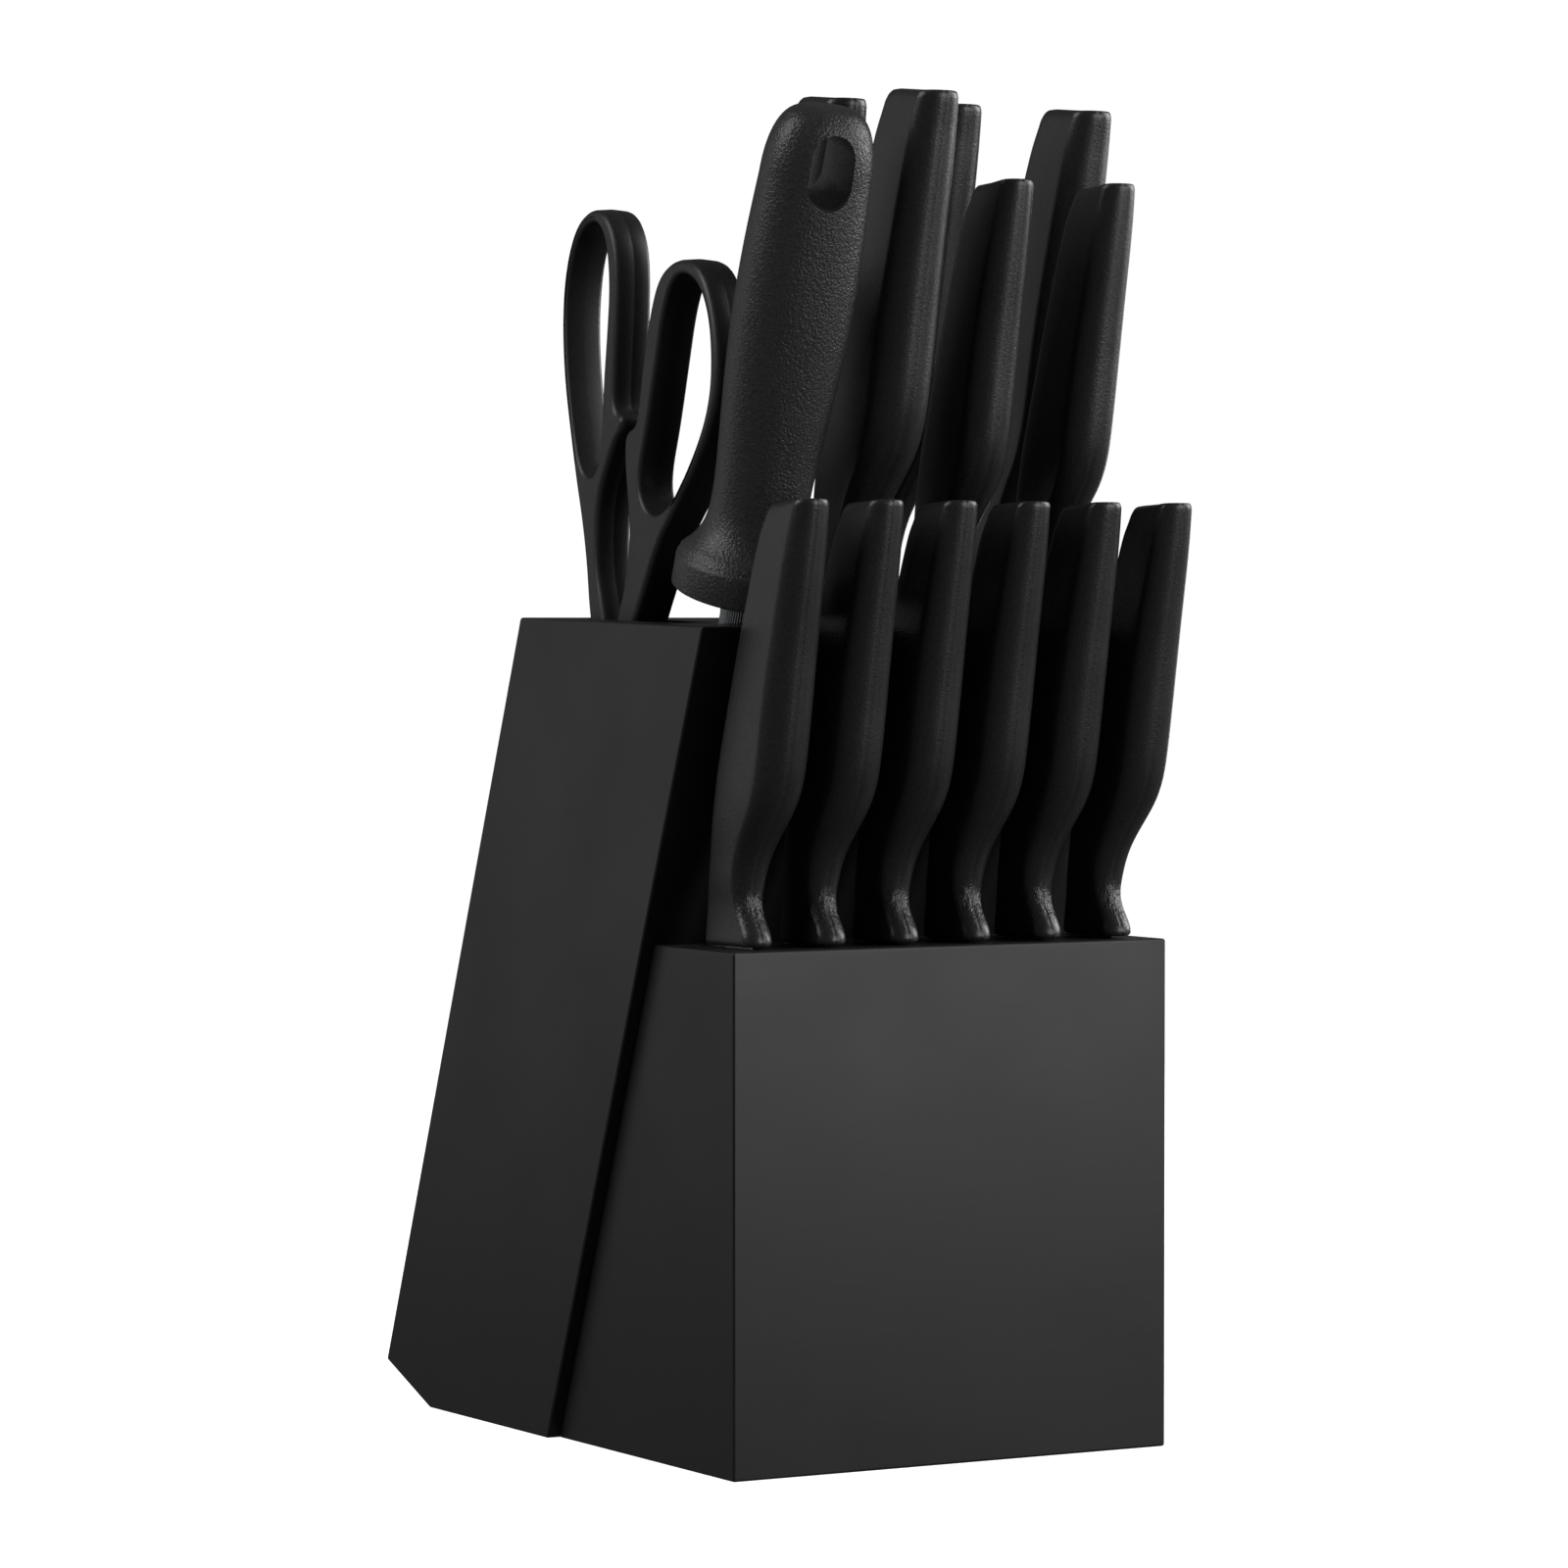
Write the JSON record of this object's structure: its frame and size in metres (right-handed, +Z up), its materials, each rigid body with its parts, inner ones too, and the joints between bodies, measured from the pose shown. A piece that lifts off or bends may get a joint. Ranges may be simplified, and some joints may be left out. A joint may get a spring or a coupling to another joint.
{
  "type": "knife block with knives",
  "caption": "Two-tier black leaning knife block holding kitchen knives, steak knives, a sharpening steel and shears, each sliding out of its own slot.",
  "frame": {"origin": "centre of the bounding box in X and Y, on the surface that the block stands on", "axes": "+X to the right seen from the front, +Y towards the back, +Z up"},
  "size_m": [0.1266, 0.1998, 0.3239],
  "materials": {
    "lacquered_wood": "satin black lacquer over fine-grained hardwood",
    "handle_plastic": "black moulded plastic with a fine spark-eroded grain",
    "shears_plastic": "smooth satin black moulded plastic",
    "blade_steel": "satin ground stainless steel",
    "honing_steel": "chromed rod with fine lengthwise ribs",
    "screw_steel": "turned steel"
  },
  "bodies": {
    "block": {"front_panel": "lacquered_wood", "front_backing_board": "lacquered_wood", "front_stave_1": "lacquered_wood", "front_stave_2": "lacquered_wood", "front_stave_3": "lacquered_wood", "front_stave_4": "lacquered_wood", "front_stave_5": "lacquered_wood", "front_stave_6": "lacquered_wood", "front_stave_7": "lacquered_wood", "left_cheek": "lacquered_wood", "steel_stave": "lacquered_wood", "pocket_back_stave": "lacquered_wood", "pocket_floor": "lacquered_wood", "rear_front_board": "lacquered_wood", "row_divider_board": "lacquered_wood", "rear_back_board": "lacquered_wood", "front_row_stave_1": "lacquered_wood", "front_row_stave_2": "lacquered_wood", "front_row_stave_3": "lacquered_wood", "front_row_stave_4": "lacquered_wood", "back_row_stave_1": "lacquered_wood", "back_row_stave_2": "lacquered_wood", "back_row_stave_3": "lacquered_wood", "back_row_stave_4": "lacquered_wood"},
    "slicing_knife": {"slicing_knife_handle": "handle_plastic", "slicing_knife_blade": "blade_steel"},
    "carving_knife": {"carving_knife_handle": "handle_plastic", "carving_knife_blade": "blade_steel"},
    "bread_knife": {"bread_knife_handle": "handle_plastic", "bread_knife_blade": "blade_steel"},
    "chef_knife": {"chef_knife_handle": "handle_plastic", "chef_knife_blade": "blade_steel"},
    "utility_knife": {"utility_knife_handle": "handle_plastic", "utility_knife_blade": "blade_steel"},
    "paring_knife": {"paring_knife_handle": "handle_plastic", "paring_knife_blade": "blade_steel"},
    "steak_knife_1": {"steak_knife_1_handle": "handle_plastic", "steak_knife_1_blade": "blade_steel"},
    "steak_knife_2": {"steak_knife_2_handle": "handle_plastic", "steak_knife_2_blade": "blade_steel"},
    "steak_knife_3": {"steak_knife_3_handle": "handle_plastic", "steak_knife_3_blade": "blade_steel"},
    "steak_knife_4": {"steak_knife_4_handle": "handle_plastic", "steak_knife_4_blade": "blade_steel"},
    "steak_knife_5": {"steak_knife_5_handle": "handle_plastic", "steak_knife_5_blade": "blade_steel"},
    "steak_knife_6": {"steak_knife_6_handle": "handle_plastic", "steak_knife_6_blade": "blade_steel"},
    "steel": {"steel_handle": "handle_plastic", "steel_rod": "honing_steel"},
    "shears": {"shears_front_handle": "shears_plastic", "shears_front_blade": "blade_steel", "shears_pivot_screw": "screw_steel"},
    "shears_back_half": {"shears_back_handle": "shears_plastic", "shears_back_blade": "blade_steel"}
  },
  "joints": [
    {"name": "slicing_knife_slide", "type": "slide", "parent": "block", "child": "slicing_knife", "axis": [0, -0.3665, 0.9304], "range_m": [0, 0.21]},
    {"name": "carving_knife_slide", "type": "slide", "parent": "block", "child": "carving_knife", "axis": [0, -0.3665, 0.9304], "range_m": [0, 0.2]},
    {"name": "bread_knife_slide", "type": "slide", "parent": "block", "child": "bread_knife", "axis": [0, -0.3665, 0.9304], "range_m": [0, 0.21]},
    {"name": "chef_knife_slide", "type": "slide", "parent": "block", "child": "chef_knife", "axis": [0, -0.3665, 0.9304], "range_m": [0, 0.21]},
    {"name": "utility_knife_slide", "type": "slide", "parent": "block", "child": "utility_knife", "axis": [0, -0.3665, 0.9304], "range_m": [0, 0.15]},
    {"name": "paring_knife_slide", "type": "slide", "parent": "block", "child": "paring_knife", "axis": [0, -0.3665, 0.9304], "range_m": [0, 0.1]},
    {"name": "steak_knife_1_slide", "type": "slide", "parent": "block", "child": "steak_knife_1", "axis": [0, -0.3665, 0.9304], "range_m": [0, 0.124]},
    {"name": "steak_knife_2_slide", "type": "slide", "parent": "block", "child": "steak_knife_2", "axis": [0, -0.3665, 0.9304], "range_m": [0, 0.124]},
    {"name": "steak_knife_3_slide", "type": "slide", "parent": "block", "child": "steak_knife_3", "axis": [0, -0.3665, 0.9304], "range_m": [0, 0.124]},
    {"name": "steak_knife_4_slide", "type": "slide", "parent": "block", "child": "steak_knife_4", "axis": [0, -0.3665, 0.9304], "range_m": [0, 0.124]},
    {"name": "steak_knife_5_slide", "type": "slide", "parent": "block", "child": "steak_knife_5", "axis": [0, -0.3665, 0.9304], "range_m": [0, 0.124]},
    {"name": "steak_knife_6_slide", "type": "slide", "parent": "block", "child": "steak_knife_6", "axis": [0, -0.3665, 0.9304], "range_m": [0, 0.124]},
    {"name": "steel_slide", "type": "slide", "parent": "block", "child": "steel", "axis": [0, -0.3256, 0.9455], "range_m": [0, 0.2]},
    {"name": "shears_slide", "type": "slide", "parent": "block", "child": "shears", "axis": [0, -0.1908, 0.9816], "range_m": [0, 0.15]},
    {"name": "shears_pivot", "type": "hinge", "parent": "shears", "child": "shears_back_half", "pos_m": [-0.0446, 0.00697, 0.17498], "axis": [-1, 0, 0], "range_deg": [0, 24]}
  ],
  "couplings": [
    {"joint": "shears_pivot", "follows": "shears_slide", "rad_per_m": 2.792}
  ]
}
